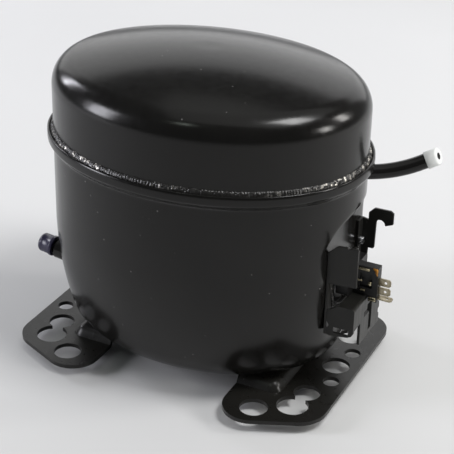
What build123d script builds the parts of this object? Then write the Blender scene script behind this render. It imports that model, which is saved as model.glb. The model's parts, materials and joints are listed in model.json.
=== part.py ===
"""Hermetic reciprocating compressor: oval pressed-steel housing on two foot plates, with the
whole pump inside it (motor at the bottom, crankcase and cylinder on top) hung on four springs.

Frame: millimetres, +Z up. The origin is the centre of the foot bolt pattern, in the plane of the
foot plates' underside. +X is the long way, towards the electrical terminal; the suction
connector leaves the +X/+Y side. The housing bottom reaches 6 mm below the foot plates.
"""
from build123d import *
from math import cos, radians, sin
import os

os.makedirs("parts", exist_ok=True)

# --- housing: plan sections are ellipses, and every bend insets both semi-axes alike -------------
WALL_A, WALL_B = 97.35, 75.5        # outer semi-axes of both shells' upright wall
RIM_A, RIM_B = 100.9, 79.8          # outer semi-axes of the lower shell's flared lip
SHELL_T = 3.0                       # sheet thickness of both shells
FLOOR_Z = -6.0                      # lowest point of the housing
TOP_Z = 193.0                       # highest point of the housing
LIP_Z = 137.6                       # top of the flared lip
FLARE_Z = 127.6                     # where the flare starts
SEAT_Z = 130.5                      # step inside the lip that the upper shell stands on
BULGE_Z, BULGE_R, BULGE_TURN = 81.7, 216.0, 15.65      # long draw radius of the lower wall
KNUCKLE_R, KNUCKLE_END = 23.65, 66.5                   # lower corner, degrees from upright
TOP_CORNER_Z, TOP_CORNER_R, TOP_CORNER_END = 164.9, 17.0, 72.3
BOTTOM_FLAT, CROWN_FLAT = 0.30, 0.10                   # flat middle, as a share of the crown
BEAD_Z = 141.0                      # top of the seam weld

# --- pressed flat and hermetic terminal on the +X end ---------------------------------------------
FLAT_X, FLAT_Z0, FLAT_Z1 = 89.4, 18.0, 106.0
TERMINAL_Z = 68.0
TERMINAL_R, TERMINAL_HOLE_R = 16.0, 15.0
PIN_R, PIN_CIRCLE_R = 1.15, 6.0

# --- foot plates -----------------------------------------------------------------------------------
PLATE_T = 2.5
PLATE_OUT_X, PLATE_IN_X = 102.8, 43.6
END_X, END_Y, END_SLOPE = 68.0, 75.6, 23.8             # a point of the sloping end edge, degrees
OUTER_CORNER_R, INNER_CORNER_R = 18.5, 16.8
BIG_HOLE = (82.5, 50.8, 9.5)                           # x, y, radius of the 165 x 101.6 pattern
SMALL_HOLE = (85.0, 35.0, 8.0)                         # the 170 x 70 pattern, run into the big hole
SIDE_HOLE = (63.3, 63.0, 8.5)
DRAIN_HOLE = (93.1, 17.4, 5.0)
MID_HOLE = (89.2, 0.0, 8.5)
SADDLE_X, SADDLE_Y, SADDLE_Z = 66.0, 40.0, 8.0         # raised part that the housing sits in

# --- connectors --------------------------------------------------------------------------------------
SUCTION_R, SUCTION_BORE_R = 4.5, 3.7
SUCTION_WALL_ANGLE, SUCTION_Z = 20.0, 123.0
SUCTION_HEADING, SUCTION_RISE = 26.0, 24.0
SUCTION_RUN_1, SUCTION_RUN_2, SUCTION_BEND_R = 16.0, 24.0, 75.0
SUCTION_CAP_R, SUCTION_CAP_LENGTH, SUCTION_CAP_LAP = 5.2, 8.0, 5.0
STUB_R, STUB_BORE_R, STUB_LENGTH = 4.0, 3.1, 11.0      # process and discharge stubs
CAP_R, CAP_LENGTH = 6.5, 11.5

# --- pump, about its crank axis ------------------------------------------------------------------------
CRANK_X = -12.0
THROW = 8.0                         # half the stroke
BORE_R = 19.0
CYLINDER_Z = 147.0
CYLINDER_X0, CYLINDER_X1 = 23.0, 77.1                  # from the crank axis
BLOCK_HALF = 27.0
STATOR_R, STATOR_BORE_R = 59.0, 31.5
STACK_Z0, STACK_Z1 = 40.0, 88.0
ROTOR_R = 31.0
BOLT_CIRCLE_R = 53.0
PLATE_Z0, PLATE_Z1 = 104.0, 116.0                      # crankcase plate
HUB_R, HUB_Z0, HUB_Z1 = 16.0, 90.0, 128.0
JOURNAL_R, JOURNAL_GAP = 9.0, 0.03
WEB_R, WEB_Z0, WEB_Z1 = 20.0, 129.0, 139.0
CRANKPIN_R, CRANKPIN_Z1 = 7.0, 155.0
BIG_END_R, BIG_END_Z0, BIG_END_Z1 = 12.0, 141.0, 153.0
ROD_LENGTH, SMALL_END_R, WRIST_R, WRIST_HALF = 40.0, 6.5, 3.5, 11.0
PISTON_GAP, PISTON_INNER_R, PISTON_LENGTH, CROWN_T = 0.03, 16.5, 35.5, 5.5
SPRING_Z0, SPRING_Z1, SPRING_R, SPRING_WIRE_R, SPRING_TURNS = 17.0, 33.0, 6.0, 0.9, 5
REED_T = 0.4


# =================================================================================================
# helpers
# =================================================================================================
def save(node, *solids):
    """Write one node's solids to its STEP file."""
    shapes = []
    for solid in solids:
        shapes.extend(solid.solids())
    body = shapes[0] if len(shapes) == 1 else Compound(children=shapes)
    body.label = node
    export_step(body, f"parts/{node}.step")


def disc(radius, z0, z1, x=0.0, y=0.0):
    """Upright cylinder."""
    return Pos(x, y, (z0 + z1) / 2) * Cylinder(radius, z1 - z0)


def block(x0, x1, y0, y1, z0, z1):
    """Box between six planes."""
    return Pos((x0 + x1) / 2, (y0 + y1) / 2, (z0 + z1) / 2) * Box(x1 - x0, y1 - y0, z1 - z0)


def rod_x(radius, x0, x1, y=0.0, z=0.0):
    """Cylinder lying along X."""
    return Pos((x0 + x1) / 2, y, z) * Rot(0, 90, 0) * Cylinder(radius, x1 - x0)


def rod_along(radius, start, direction, length):
    """Cylinder from a point along any direction."""
    return extrude(Plane(start, z_dir=direction) * Circle(radius), length)


def pipe(radius, points, bend_radius):
    """Solid round bar along straight runs joined by tangent arcs."""
    path = FilletPolyline(*points, radius=bend_radius)
    start = Vector(*points[0])
    heading = Vector(*points[1]) - start
    return sweep(Plane(start, z_dir=heading) * Circle(radius), path=path)


def ellipse_slab(a, b, z0, z1):
    """Upright elliptic prism."""
    return extrude(Pos(0, 0, z0) * Ellipse(a, b), z1 - z0)


def sheet_xz(points, y0, thickness):
    """Flat plate standing in an XZ plane; it grows from y0 towards +Y."""
    plane = Plane((0, y0, 0), x_dir=(1, 0, 0), z_dir=(0, -1, 0))
    return extrude(plane * make_face(Polyline(*points, close=True)), -thickness)


def sheet_yz(points, x0, thickness):
    """Flat plate standing in a YZ plane; it grows from x0 towards +X."""
    plane = Plane((x0, 0, 0), x_dir=(0, 1, 0), z_dir=(1, 0, 0))
    return extrude(plane * make_face(Polyline(*points, close=True)), thickness)


def ring_of(count, radius, start_deg=0.0):
    """Evenly spaced points on a circle about the crank axis, as (x, y, angle)."""
    places = []
    for i in range(count):
        angle = start_deg + 360.0 * i / count
        places.append((CRANK_X + radius * cos(radians(angle)), radius * sin(radians(angle)), angle))
    return places


# =================================================================================================
# housing
# =================================================================================================
def lower_sections(skin):
    """(a, b, z) of the lower shell below its upright wall; skin is the inset along the normal."""
    rows = []
    turn = radians(BULGE_TURN)
    for i in range(4):
        angle = turn * i / 3
        inset = BULGE_R * (1 - cos(angle)) + skin * cos(angle)
        rows.append((inset, BULGE_Z - BULGE_R * sin(angle) + skin * sin(angle)))
    knuckle_inset = BULGE_R * (1 - cos(turn))
    knuckle_z = BULGE_Z - BULGE_R * sin(turn)
    for i in range(1, 8):
        angle = turn + (radians(KNUCKLE_END) - turn) * i / 7
        inset = knuckle_inset + KNUCKLE_R * (cos(turn) - cos(angle)) + skin * cos(angle)
        rows.append((inset, knuckle_z - KNUCKLE_R * (sin(angle) - sin(turn)) + skin * sin(angle)))
    sections = [(WALL_A - inset, WALL_B - inset, z) for inset, z in rows]
    edge_a, edge_b, edge_z = sections[-1]
    low = FLOOR_Z + skin
    for share in (0.9, 0.76, 0.6, 0.45, BOTTOM_FLAT):
        rise = (share ** 2 - BOTTOM_FLAT ** 2) / (1 - BOTTOM_FLAT ** 2)
        sections.append((edge_a * share, edge_b * share, low + (edge_z - low) * rise))
    return sections


def upper_sections(skin):
    """(a, b, z) of the upper shell above its upright wall."""
    rows = []
    for i in range(9):
        angle = radians(TOP_CORNER_END) * i / 8
        inset = TOP_CORNER_R - (TOP_CORNER_R - skin) * cos(angle)
        rows.append((inset, TOP_CORNER_Z + (TOP_CORNER_R - skin) * sin(angle)))
    sections = [(WALL_A - inset, WALL_B - inset, z) for inset, z in rows]
    edge_a, edge_b, edge_z = sections[-1]
    high = TOP_Z - skin
    for share in (0.9, 0.78, 0.64, 0.48, 0.3, CROWN_FLAT):
        fall = (share ** 2 - CROWN_FLAT ** 2) / (1 - CROWN_FLAT ** 2)
        sections.append((edge_a * share, edge_b * share, high - (high - edge_z) * fall))
    return sections


def loft_sections(sections):
    """Solid through elliptic sections, with straight flanks from each to the next."""
    return loft([Pos(0, 0, z) * Ellipse(a, b) for a, b, z in sections], ruled=True)


def lower_body(skin):
    """Everything inside the lower shell's surface, up to the flare."""
    wall_top = (WALL_A - skin, WALL_B - skin, FLARE_Z)
    body = loft_sections([wall_top] + lower_sections(skin))
    press = block(FLAT_X - skin, 120, -60, 60, FLAT_Z0 - 2 * skin, FLAT_Z1 + skin)
    return body - press


def build_lower_shell(outer):
    """Deep-drawn bottom with the flared lip and the pressed flat."""
    flare = loft_sections([(WALL_A, WALL_B, FLARE_Z), (RIM_A, RIM_B, LIP_Z - 1.2)])
    lip = ellipse_slab(RIM_A, RIM_B, LIP_Z - 1.2, LIP_Z)
    shell = outer + flare + lip
    shell -= lower_body(SHELL_T)
    shell -= ellipse_slab(WALL_A - SHELL_T, WALL_B - SHELL_T, BULGE_Z + 30, SEAT_Z)
    shell -= ellipse_slab(WALL_A, WALL_B, SEAT_Z, LIP_Z)
    shell -= rod_x(TERMINAL_HOLE_R, FLAT_X - 10, FLAT_X + 5, 0, TERMINAL_Z)
    return shell


def build_upper_shell():
    """Domed lid."""
    outer = loft_sections([(WALL_A, WALL_B, SEAT_Z)] + upper_sections(0))
    inner = loft_sections([(WALL_A - SHELL_T, WALL_B - SHELL_T, SEAT_Z - 1)] + upper_sections(SHELL_T))
    return outer - inner


def build_seam_weld():
    """Fillet weld in the channel between the lid and the lip."""
    bead = loft_sections([
        (RIM_A - 0.5, RIM_B - 0.5, LIP_Z),
        (RIM_A - 1.2, RIM_B - 1.6, LIP_Z + 2.0),
        (WALL_A + 0.4, WALL_B + 0.4, BEAD_Z),
    ])
    return bead - ellipse_slab(WALL_A, WALL_B, LIP_Z - 1, BEAD_Z + 1)


def plate_outline():
    """Plan of the +X foot plate: straight outer edge, two sloping ends, straight inner edge."""
    slope = radians(END_SLOPE)
    reach = PLATE_OUT_X - END_X
    outer_y = END_Y - reach * sin(slope) / cos(slope)
    inner_y = END_Y + (END_X - PLATE_IN_X) * sin(slope) / cos(slope)
    outline = make_face(Polyline(
        (PLATE_OUT_X, -outer_y), (PLATE_OUT_X, outer_y),
        (PLATE_IN_X, inner_y), (PLATE_IN_X, -inner_y), close=True))
    outer_corners = outline.vertices().filter_by(lambda v: v.X > END_X)
    outline = fillet(outer_corners, OUTER_CORNER_R)
    inner_corners = outline.vertices().filter_by(lambda v: v.X < PLATE_IN_X + 0.1)
    return fillet(inner_corners, INNER_CORNER_R)


def saddle(grow, top):
    """Sloping-sided raised area, larger than the saddle by grow."""
    low = Rectangle(2 * (SADDLE_X + 4 + grow), 2 * (SADDLE_Y + 4 + grow))
    high = Rectangle(2 * (SADDLE_X - 1 + grow), 2 * (SADDLE_Y - 1 + grow))
    low = fillet(low.vertices(), 8)
    high = fillet(high.vertices(), 5)
    return loft([Pos(0, 0, top - SADDLE_Z) * low, Pos(0, 0, top) * high], ruled=True)


def build_foot_plate(outer):
    """+X foot plate: flat with holes, and a raised saddle that fits the housing bottom."""
    outline = plate_outline()
    raised = extrude(outline, SADDLE_Z) & saddle(0, SADDLE_Z)
    plate = extrude(outline, PLATE_T) + raised
    plate -= saddle(-PLATE_T / 2, SADDLE_Z - PLATE_T)
    plate -= outer
    for x, y, radius in (BIG_HOLE, SMALL_HOLE, SIDE_HOLE, DRAIN_HOLE):
        for side in (-1, 1):
            plate -= disc(radius, -1, PLATE_T + 1, x, side * y)
    plate -= disc(MID_HOLE[2], -1, PLATE_T + 1, MID_HOLE[0], MID_HOLE[1])
    return plate


# =================================================================================================
# connectors and their caps
# =================================================================================================
def suction_route():
    """Corner points of the suction tube, and the heading of its last run."""
    angle = radians(SUCTION_WALL_ANGLE)
    wall = Vector(WALL_A * cos(angle), WALL_B * sin(angle), SUCTION_Z)
    heading = radians(SUCTION_HEADING)
    rise = radians(SUCTION_RISE)
    level = Vector(cos(heading), sin(heading), 0)
    climb = Vector(cos(heading) * cos(rise), sin(heading) * cos(rise), sin(rise))
    corner = wall + level * SUCTION_RUN_1
    return wall - level * 4.5, corner, corner + climb * SUCTION_RUN_2, climb


def stub_frame(wall_angle, z, heading, rise):
    """Start point inside the wall and unit heading of a short connector."""
    angle = radians(wall_angle)
    wall = Vector((WALL_A - 2) * cos(angle), (WALL_B - 2) * sin(angle), z)
    turn, lift = radians(heading), radians(rise)
    way = Vector(cos(turn) * cos(lift), sin(turn) * cos(lift), sin(lift))
    return wall, way


PROCESS = stub_frame(200.0, 49.0, 180.0, 8.0)
DISCHARGE = stub_frame(118.0, 112.0, 105.0, 0.0)


def stub_tube(frame):
    """Short connector tube through the wall; returns the tube and its plain outline."""
    wall, way = frame
    start = wall - way * 7
    outline = rod_along(STUB_R, start, way, 7 + STUB_LENGTH)
    return outline - rod_along(STUB_BORE_R, start, way, 7 + STUB_LENGTH), outline


def stub_cap(frame):
    """Push-on transport cap with a rounded blind end."""
    wall, way = frame
    start = wall + way * 4.8
    cap = rod_along(CAP_R, start, way, CAP_LENGTH)
    rims = cap.edges().filter_by(GeomType.CIRCLE)
    cap = fillet(rims.sort_by(lambda e: (e.center() - wall).length)[-1], 1.8)
    return cap - rod_along(STUB_R + 0.06, start, way, STUB_LENGTH - 4.6)


# =================================================================================================
# electrical end
# =================================================================================================
SHEET = 1.6                         # bracket sheet thickness
BRACKET_Y = 26.0                    # outer face of the bracket's flanges
BRACKET_Z0, BRACKET_Z1 = 40.0, 76.0
FLANGE_X = 107.8                    # how far the near flange stands out
FOLD_R = 2.0            # outer radius of the fold along the top of the cord anchor
SHELF_END_Y = -4.0      # where the cord anchor's shelf stops


def build_terminal_bracket():
    """Fence round the terminal: back plate, near flange, and far flange with the cover hook."""
    face = FLAT_X + SHEET
    back = block(FLAT_X, face, -BRACKET_Y, BRACKET_Y, BRACKET_Z0, BRACKET_Z1)
    back -= rod_x(TERMINAL_R + 2.5, FLAT_X - 1, face + 1, 0, TERMINAL_Z)
    back += block(FLAT_X, face, 19.0, BRACKET_Y, BRACKET_Z1, 93.5)
    near = sheet_xz([
        (FLAT_X, 73.5), (FLAT_X, 93.5), (95.5, 99.0), (101.0, 99.4), (102.3, 98.6), (103.5, 99.4),
        (FLANGE_X, 99.4), (FLANGE_X, 74.8), (94.0, 74.0),
    ], -BRACKET_Y, SHEET)
    far = sheet_xz([
        (face, 61.0), (face, 93.5), (94.5, 92.8), (94.5, 97.6), (98.0, 101.2), (108.0, 101.4),
        (110.0, 100.0), (110.0, 92.8), (105.2, 90.8), (104.4, 93.0), (102.6, 94.2), (100.6, 94.0),
        (99.6, 92.6), (99.2, 75.0), (98.4, 74.2), (95.4, 74.2), (94.6, 61.0),
    ], BRACKET_Y - SHEET, SHEET)
    return back + near + far


def build_cord_anchor():
    """Folded box under the terminal that the supply cord is clamped in."""
    face = FLAT_X + SHEET
    side = sheet_xz([
        (face, 56.0), (97.5, 60.6), (FLANGE_X - FOLD_R, 60.6), (FLANGE_X, 60.6 - FOLD_R),
        (FLANGE_X, 44.6), (106.6, 42.4),
        (104.4, 41.2), (face + 2.2, 39.6), (face, 40.2), (face, 43.8), (face + 1.6, 46.6), (face, 49.0),
    ], -BRACKET_Y, SHEET)
    side -= block(95.4, 104.6, -BRACKET_Y - 1, -BRACKET_Y + 4, 42.4, 46.0)
    folded = block(98.0, FLANGE_X, -BRACKET_Y, SHELF_END_Y, 60.6 - SHEET, 60.6)
    folded += block(FLANGE_X - SHEET, FLANGE_X, -BRACKET_Y, SHELF_END_Y, 50.0, 60.6)
    outer_edge = folded.edges().filter_by(Axis.Y).sort_by(lambda e: e.center().X + e.center().Z)[-1]
    folded = fillet(outer_edge, FOLD_R)
    apron = sheet_yz([
        (-BRACKET_Y, 60.6 - FOLD_R), (SHELF_END_Y, 60.6 - FOLD_R), (4.6, 53.0), (10.0, 47.0),
        (17.2, 44.6), (17.2, 40.6),
        (15.4, 40.0), (15.4, 37.2), (17.2, 36.6), (17.2, 31.0), (-14.5, 31.0), (-14.5, 45.5),
        (-BRACKET_Y, 45.5),
    ], FLANGE_X - SHEET, SHEET)
    apron -= block(100, 120, -9.0, 3.4, 47.0, 53.0)
    apron -= block(100, 120, -0.6, 3.4, 34.0, 48.0)
    web = block(face, FLANGE_X, 15.4 - SHEET, 15.4, 32.0, 44.0)
    return side + folded + apron + web


def build_start_device():
    """Plug-on block over the terminal pins, with the upright board that carries the spades."""
    face = FLAT_X + SHEET
    base = block(face + 0.4, 99.0, -15.0, 15.0, 61.2, 76.5)
    base = fillet(base.edges().filter_by(Axis.X), 2.0)
    board = block(98.0, 114.0, -7.2, -1.6, 61.0, 80.0) + block(108.5, 114.0, -7.2, -1.6, 57.6, 61.0)
    board -= block(103.0, 110.5, -8.0, -5.4, 66.0, 75.0)
    device = base + board
    for y, z in terminal_pins():
        device -= rod_x(PIN_R, face, 97.0, y, z)
    return device


def terminal_pins():
    """(y, z) of the three pins."""
    places = []
    for angle in (90.0, 210.0, 330.0):
        places.append((PIN_CIRCLE_R * cos(radians(angle)), TERMINAL_Z + PIN_CIRCLE_R * sin(radians(angle))))
    return places


def spade(x0, z, length, flat):
    """Push-on blade with its locating hole; flat lies level, otherwise it stands on edge."""
    blade = block(x0, x0 + length, -2.4, 2.4, -0.4, 0.4)
    blade = chamfer(blade.edges().filter_by(Axis.Z).group_by(Axis.X)[-1], 1.0)
    blade -= disc(0.9, -1, 1, x0 + length - 3.2, 0)
    if flat:
        return Pos(0, -4.4, z) * blade
    return Pos(0, -4.4, z) * Rot(90, 0, 0) * blade


# =================================================================================================
# motor and pump
# =================================================================================================
def slot_bars(radius_0, radius_1, width, z0, z1):
    """24 straight bars through the stator slots."""
    bar = block(radius_0, radius_1, -width / 2, width / 2, z0, z1)
    return [Pos(CRANK_X, 0, 0) * Rot(0, 0, 15.0 * i) * bar for i in range(24)]


def build_stator():
    """Laminated stack with 24 slots, four flats and four bolt holes."""
    stack = disc(STATOR_R, STACK_Z0, STACK_Z1, CRANK_X) - disc(STATOR_BORE_R, 0, 120, CRANK_X)
    stack -= slot_bars(STATOR_BORE_R - 1, STATOR_BORE_R + 2, 1.6, 0, 120)
    stack -= slot_bars(STATOR_BORE_R + 1.8, 44.0, 4.6, 0, 120)
    for x, y, _ in ring_of(4, BOLT_CIRCLE_R, 45.0):
        stack -= disc(3.3, 0, 120, x, y)
    return stack


def end_turns(radius_0, radius_1, height):
    """Rounded coil heads below and above the stack."""
    rings = []
    for z0, z1 in ((STACK_Z0 - height, STACK_Z0), (STACK_Z1, STACK_Z1 + height)):
        ring = disc(radius_1, z0, z1, CRANK_X) - disc(radius_0, z0 - 1, z1 + 1, CRANK_X)
        free_z = z0 if z1 == STACK_Z0 else z1
        free_edges = ring.edges().filter_by(lambda e: abs(e.center().Z - free_z) < 0.01)
        rings.append(fillet(free_edges.filter_by(GeomType.CIRCLE), 2.0))
    return rings


def build_main_winding():
    """Outer coil heads joined by the conductors in the slots."""
    rings = end_turns(37.5, 43.5, 12.0)
    winding = rings[0] + rings[1]
    winding += slot_bars(37.8, 43.2, 3.8, STACK_Z0 - 1, STACK_Z1 + 1)
    return winding


def build_rotor():
    """Rotor stack with 16 bar holes, and the cast cage that fills them."""
    core = disc(ROTOR_R, STACK_Z0, STACK_Z1, CRANK_X) - disc(JOURNAL_R, 0, 120, CRANK_X)
    bars = [disc(2.0, STACK_Z0 - 1, STACK_Z1 + 1, x, y) for x, y, _ in ring_of(16, 27.0)]
    core -= bars
    cage = disc(30.0, STACK_Z0 - 6, STACK_Z0, CRANK_X) - disc(20.0, 0, 120, CRANK_X)
    cage += disc(30.0, STACK_Z1, STACK_Z1 + 6, CRANK_X) - disc(20.0, 0, 120, CRANK_X)
    cage += bars
    return core, cage


def build_crankcase():
    """Cast plate on four posts, bearing hub, and the cylinder block."""
    frame = disc(58.0, PLATE_Z0, PLATE_Z1, CRANK_X)
    frame -= block(CRANK_X - 80, CRANK_X - 38, -80, 80, PLATE_Z0 - 1, PLATE_Z1 + 1)
    for x, y, _ in ring_of(4, BOLT_CIRCLE_R, 45.0):
        frame += disc(6.5, STACK_Z1, PLATE_Z1, x, y)
    frame += block(CRANK_X - 44, CRANK_X - 30, -36, 36, PLATE_Z0, PLATE_Z1)
    frame += disc(HUB_R, HUB_Z0, HUB_Z1, CRANK_X)
    frame += block(CRANK_X + 26, CRANK_X + 58, -24, 24, PLATE_Z1, 122)
    barrel = block(CRANK_X + CYLINDER_X0, CRANK_X + CYLINDER_X1, -BLOCK_HALF, BLOCK_HALF,
                   CYLINDER_Z - BLOCK_HALF, CYLINDER_Z + BLOCK_HALF)
    frame += fillet(barrel.edges().filter_by(Axis.X), 6.0)
    frame -= disc(JOURNAL_R + JOURNAL_GAP, 0, 200, CRANK_X)
    frame -= rod_x(BORE_R, CRANK_X + CYLINDER_X0 - 1, CRANK_X + CYLINDER_X1 + 1, 0, CYLINDER_Z)
    for x, y, _ in ring_of(4, BOLT_CIRCLE_R, 45.0):
        frame -= disc(3.0, STACK_Z1, PLATE_Z1 - 4, x, y)
    for y, z in head_bolt_places():
        frame -= rod_x(2.5, CRANK_X + CYLINDER_X1 - 16, CRANK_X + CYLINDER_X1, y, z)
    return frame


def head_bolt_places():
    """(y, z) of the four cylinder-head bolts."""
    reach = BLOCK_HALF - 5.5
    return [(sy * reach, CYLINDER_Z + sz * reach) for sy in (-1, 1) for sz in (-1, 1)]


def head_layer(x0, x1):
    """Square plate of the cylinder head stack, with its bolt holes."""
    layer = block(x0, x1, -BLOCK_HALF, BLOCK_HALF, CYLINDER_Z - BLOCK_HALF, CYLINDER_Z + BLOCK_HALF)
    layer = fillet(layer.edges().filter_by(Axis.X), 6.0)
    for y, z in head_bolt_places():
        layer -= rod_x(2.5, x0 - 1, x1 + 1, y, z)
    return layer


VALVE_X0 = CRANK_X + CYLINDER_X1    # cylinder side of the valve plate
VALVE_X1 = VALVE_X0 + 3.2
GASKET_X1 = VALVE_X1 + 0.8
HEAD_X1 = GASKET_X1 + 10.0
SUCTION_PORT = (8.0, CYLINDER_Z)    # y, z of the ports
DISCHARGE_PORT = (-8.0, CYLINDER_Z)
REED_ROOT_Z = CYLINDER_Z + 13.0     # hinge line of both reeds


def build_valve_plate():
    """Valve plate with the two ports and the seat that the suction reed is let into."""
    plate = head_layer(VALVE_X0, VALVE_X1)
    for y, z in (SUCTION_PORT, DISCHARGE_PORT):
        plate -= rod_x(3.0, VALVE_X0 - 1, VALVE_X1 + 1, y, z)
    return plate


def build_head():
    """Cylinder head with its two chambers."""
    head = head_layer(GASKET_X1, HEAD_X1)
    head -= block(GASKET_X1 - 1, HEAD_X1 - 3, 1.5, 17.0, CYLINDER_Z - 13, CYLINDER_Z + 13)
    head -= block(GASKET_X1 - 1, HEAD_X1 - 3, -17.0, -1.5, CYLINDER_Z - 13, CYLINDER_Z + 18)
    head -= block(GASKET_X1 + 1, GASKET_X1 + 6, 15, 30, CYLINDER_Z - 3, CYLINDER_Z + 3)
    return head


def build_gasket():
    """Gasket cut to the head's two chambers."""
    gasket = head_layer(VALVE_X1, GASKET_X1)
    gasket -= block(0, 120, 1.5, 17.0, CYLINDER_Z - 13, CYLINDER_Z + 13)
    return gasket - block(0, 120, -17.0, -1.5, CYLINDER_Z - 13, CYLINDER_Z + 18)


def reed(x0, port, root_z):
    """Flat tongue that covers a port, from its root line down."""
    y, z = port
    strip = block(x0, x0 + REED_T, y - 3.0, y + 3.0, z, root_z)
    return strip + rod_x(4.6, x0, x0 + REED_T, y, z)


def build_crankshaft():
    """Journal, web, crank pin and the solid counterweight half of the web."""
    shaft = disc(JOURNAL_R, 30.0, WEB_Z0, CRANK_X)
    shaft += disc(WEB_R, WEB_Z0, WEB_Z1, CRANK_X)
    shaft -= block(CRANK_X - 30, CRANK_X - 1, 15.2, 40, WEB_Z0, WEB_Z1)
    shaft -= block(CRANK_X - 30, CRANK_X - 1, -40, -15.2, WEB_Z0, WEB_Z1)
    shaft += disc(CRANKPIN_R, WEB_Z1, CRANKPIN_Z1, CRANK_X - THROW)
    shaft -= disc(3.0, 29.0, 60.0, CRANK_X)
    shaft -= rod_along(1.6, (CRANK_X, 0, 58), (-THROW * 0.9, 0, CRANKPIN_Z1 - 58), 110)
    return shaft


def build_connecting_rod():
    """Rod at bottom dead centre, parallel to the cylinder."""
    x0 = CRANK_X - THROW
    x1 = x0 + ROD_LENGTH
    rod = disc(BIG_END_R, BIG_END_Z0, BIG_END_Z1, x0) + disc(SMALL_END_R, 142.0, 152.0, x1)
    rod += block(x0 + 8, x1 - 4, -4.0, 4.0, 143.0, 151.0)
    rod -= disc(CRANKPIN_R + JOURNAL_GAP, 130, 160, x0)
    return rod - disc(WRIST_R, 130, 160, x1)


def build_piston():
    """Hollow piston, open towards the crank, with relief for the suction reed in its crown."""
    crown_x = CRANK_X - THROW + ROD_LENGTH + SMALL_END_R + 16.6 + CROWN_T
    body = rod_x(BORE_R - PISTON_GAP, crown_x - PISTON_LENGTH, crown_x, 0, CYLINDER_Z)
    body -= rod_x(PISTON_INNER_R, crown_x - PISTON_LENGTH - 1, crown_x - CROWN_T, 0, CYLINDER_Z)
    relief = block(crown_x - 2.8, crown_x + 1, 2.4, 13.6, CYLINDER_Z - 6.2, CYLINDER_Z + 14.0)
    return body - relief


def spring_places():
    """(x, y) of the four suspension springs."""
    return [(x, y) for x, y, _ in ring_of(4, BOLT_CIRCLE_R, 45.0)]


def build_spring(x, y):
    """Compression spring with open ends."""
    pitch = (SPRING_Z1 - SPRING_Z0 - 2 * SPRING_WIRE_R) / SPRING_TURNS
    path = Helix(pitch, pitch * SPRING_TURNS, SPRING_R)
    wire = sweep(Plane(path @ 0, z_dir=path % 0) * Circle(SPRING_WIRE_R), path=path, is_frenet=True)
    return Pos(x, y, SPRING_Z0 + SPRING_WIRE_R) * wire


# =================================================================================================
# build and write
# =================================================================================================
def write_housing():
    """Shells, weld, foot plates, connectors and caps."""
    outer = lower_body(0)
    lower = build_lower_shell(outer)
    start, corner, end, climb = suction_route()
    tube_bar = pipe(SUCTION_R, [start, corner, end], SUCTION_BEND_R)
    tube_bore = pipe(SUCTION_BORE_R, [start, corner, end], SUCTION_BEND_R)
    lower -= tube_bar
    save("suction_tube", tube_bar - tube_bore)
    cap_start = end - climb * SUCTION_CAP_LAP
    cap = rod_along(SUCTION_CAP_R, cap_start, climb, SUCTION_CAP_LENGTH)
    cap -= rod_along(SUCTION_R + 0.05, cap_start, climb, SUCTION_CAP_LAP)
    save("suction_cap", cap - rod_along(0.8, cap_start, climb, SUCTION_CAP_LENGTH))
    for name, frame in (("process", PROCESS), ("discharge", DISCHARGE)):
        tube, bar = stub_tube(frame)
        lower -= bar
        save(f"{name}_tube", tube)
        save(f"{name}_cap", stub_cap(frame))
        wall, way = frame
        collar = rod_along(STUB_R + 2.4, wall - way * 4, way, 6.4) - bar
        save(f"{name}_collar", collar - outer)
    save("lower_shell", lower)
    save("upper_shell", build_upper_shell())
    save("seam_weld", build_seam_weld())
    plate = build_foot_plate(outer)
    save("foot_plate_right", plate)
    save("foot_plate_left", mirror(plate, about=Plane.YZ))
    inner = lower_body(SHELL_T)
    studs = []
    for x, y in spring_places():
        studs.append((disc(8.0, -2, SPRING_Z0, x, y) + disc(4.8, -2, SPRING_Z0 + 5, x, y)) & inner)
    save("spring_studs", *studs)


def write_electrics():
    """Terminal, bracket, start device and blades."""
    face = FLAT_X + SHEET
    cup = rod_x(TERMINAL_R, FLAT_X - SHELL_T - 1.0, FLAT_X - SHELL_T, 0, TERMINAL_Z)
    cup += rod_x(TERMINAL_HOLE_R, FLAT_X - SHELL_T, FLAT_X + 0.6, 0, TERMINAL_Z)
    beads = []
    pins = []
    for y, z in terminal_pins():
        bead = rod_x(3.0, FLAT_X - SHELL_T - 1.0, FLAT_X + 0.6, y, z)
        cup -= bead
        beads.append(bead - rod_x(PIN_R, 70, 110, y, z))
        pins.append(rod_x(PIN_R, 76.0, 97.0, y, z))
    save("terminal_cup", cup)
    save("terminal_glass", *beads)
    save("terminal_pins", *pins)
    save("terminal_bracket", build_terminal_bracket())
    save("cord_anchor", build_cord_anchor())
    device = build_start_device()
    save("start_device", device)
    blades = [spade(114.0, 70.4, 7.2, False), spade(114.0, 64.6, 7.2, False), spade(114.0, 60.0, 8.6, True)]
    save("spade_terminals", *blades)
    screw = rod_x(2.4, face, face + 2.4, 21.5, 80.0) - block(face + 1.4, face + 3, 15, 30, 79.5, 80.5)
    save("earth_screw", screw)
    plug = block(70.0, FLAT_X - SHELL_T - 1.0 - 0.5, -10.5, 10.5, TERMINAL_Z - 9, TERMINAL_Z + 10)
    plug = fillet(plug.edges().filter_by(Axis.X), 3.0)
    for y, z in terminal_pins():
        plug -= rod_x(PIN_R, 76.0, 90.0, y, z)
    save("cluster_plug", plug)
    leads = []
    for y in (-6.0, 0.0, 6.0):
        route = [(70.0, y, 66.0), (57.0, y, 66.0), (53.0, y, 92.0), (CRANK_X + 42.4, y, 94.0)]
        leads.append(pipe(1.1, route, 3.0))
    save("motor_leads", *leads)


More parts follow.
